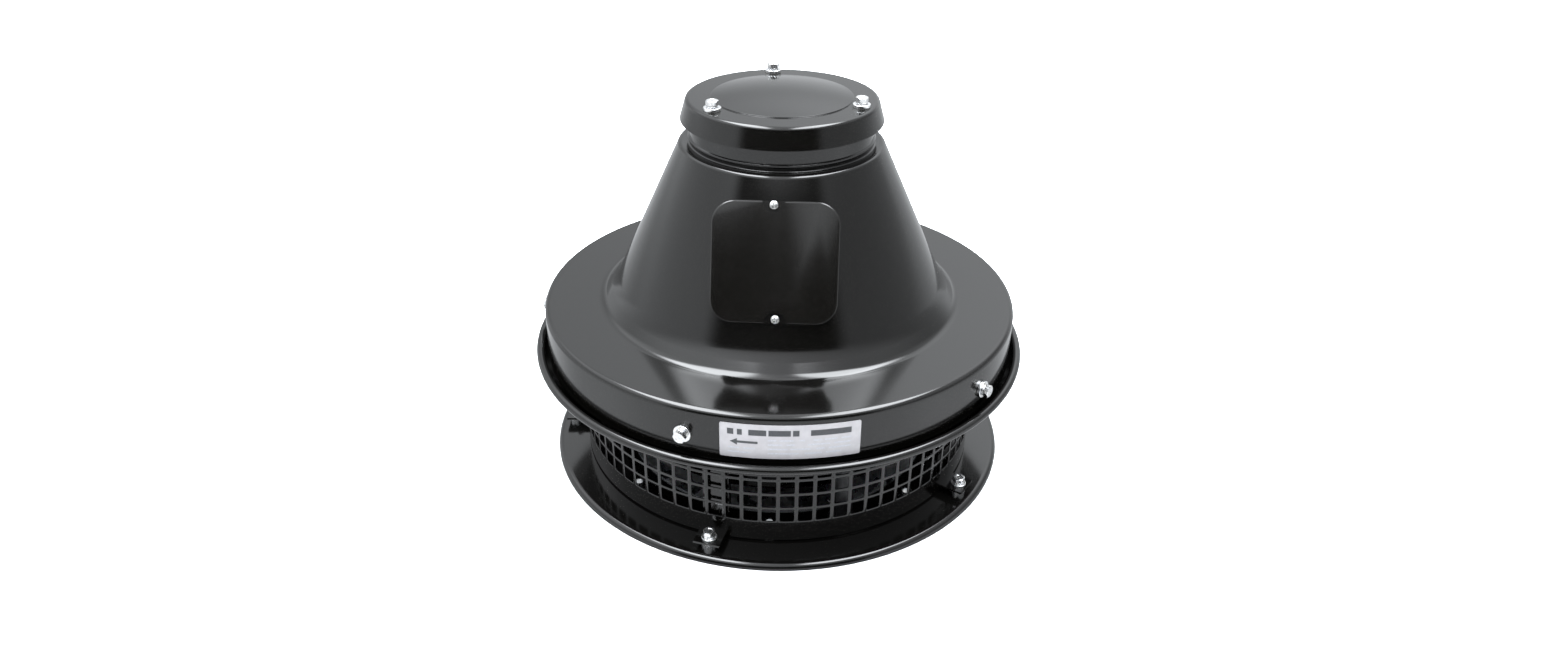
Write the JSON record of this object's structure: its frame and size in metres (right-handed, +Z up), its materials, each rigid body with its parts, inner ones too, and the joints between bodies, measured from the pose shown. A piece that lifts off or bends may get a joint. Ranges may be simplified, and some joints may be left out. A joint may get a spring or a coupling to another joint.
{
  "type": "exhaust hood fan",
  "caption": "Roof-mounted vertical exhaust fan: spun black hood and rain cap over a motor, radial impeller behind a mesh ring, round base plate.",
  "frame": {"origin": "on the fan's axis, in the plane of the base rim's lower edge", "axes": "+Z up along the impeller's axis; -Y is the front, where the access cover is"},
  "size_m": [0.4734, 0.4734, 0.361],
  "materials": {
    "black_paint": "gloss black stove enamel",
    "cover_plastic": "semi-gloss moulded",
    "zinc_steel": "bright zinc plate",
    "galvanised_sheet": "galvanised",
    "label_foil": "satin white film",
    "cast_aluminium": "cast, satin",
    "electrical_steel": "laminated, varnished",
    "copper_winding": "enamelled copper",
    "bearing_steel": "ground and polished",
    "shaft_steel": "ground",
    "gasket_rubber": "matt",
    "black_plastic": "matt",
    "grey_plastic": "fine texture",
    "terminal_plastic": "matt",
    "brass": "bright"
  },
  "bodies": {
    "housing": {"base_plate": "black_paint", "mesh_guard": "black_paint", "mesh_top_ring": "black_paint", "deck_plate": "black_paint", "hood_shell": "black_paint", "rain_cap": "black_paint", "motor_fan_cowl": "black_paint", "support_legs": "black_paint", "access_cover": "cover_plastic", "nozzle_rivets": "zinc_steel", "flange_rivet_nuts": "zinc_steel", "base_bolts": "zinc_steel", "base_washers": "zinc_steel", "base_standoffs": "zinc_steel", "deck_bolts": "zinc_steel", "deck_nuts": "zinc_steel", "bracket_rivets": "zinc_steel", "hood_bolts": "zinc_steel", "hood_washers": "zinc_steel", "cap_bolts": "zinc_steel", "cap_washers": "zinc_steel", "cap_standoffs": "zinc_steel", "cover_screws": "zinc_steel", "motor_tie_bolts": "zinc_steel", "motor_bolts": "zinc_steel", "cowl_screws": "zinc_steel", "inlet_nozzle": "galvanised_sheet", "hood_brackets": "galvanised_sheet", "terminal_bracket": "galvanised_sheet", "capacitor_clamp": "galvanised_sheet", "rating_plate": "label_foil", "drive_end_shield": "cast_aluminium", "rear_end_shield": "cast_aluminium", "motor_frame": "cast_aluminium", "capacitor": "cast_aluminium", "stator_core": "electrical_steel", "stator_windings": "copper_winding", "drive_bearing_outer_ring": "bearing_steel", "rear_bearing_outer_ring": "bearing_steel", "cover_gasket": "gasket_rubber", "cable_gland": "black_plastic", "conduit_tube": "black_plastic", "terminal_box": "grey_plastic", "terminal_box_lid": "grey_plastic", "terminal_block": "terminal_plastic", "terminal_screws": "brass"},
    "rotor": {"rotor_shaft": "shaft_steel", "rotor_core": "electrical_steel", "shaft_key": "shaft_steel", "motor_cooling_fan": "black_plastic", "drive_bearing_inner_ring": "bearing_steel", "rear_bearing_inner_ring": "bearing_steel", "impeller_hub": "cast_aluminium", "impeller_hub_rivets": "zinc_steel", "impeller_back_plate": "black_paint", "impeller_blades": "black_paint", "impeller_shroud": "black_paint", "impeller_fixings": "zinc_steel"},
    "drive_ball_set": {"drive_bearing_ball_set": "bearing_steel"},
    "rear_ball_set": {"rear_bearing_ball_set": "bearing_steel"}
  },
  "joints": [
    {"name": "rotor_spin", "type": "hinge", "parent": "housing", "child": "rotor", "pos_m": [0, 0, 0.1], "axis": [0, 0, 1], "continuous": true},
    {"name": "drive_ball_set_spin", "type": "hinge", "parent": "housing", "child": "drive_ball_set", "pos_m": [0, 0, 0.104], "axis": [0, 0, 1], "continuous": true},
    {"name": "rear_ball_set_spin", "type": "hinge", "parent": "housing", "child": "rear_ball_set", "pos_m": [0, 0, 0.206], "axis": [0, 0, 1], "continuous": true}
  ],
  "couplings": [
    {"joint": "drive_ball_set_spin", "follows": "rotor_spin", "ratio": 0.3659},
    {"joint": "rear_ball_set_spin", "follows": "rotor_spin", "ratio": 0.3659}
  ]
}
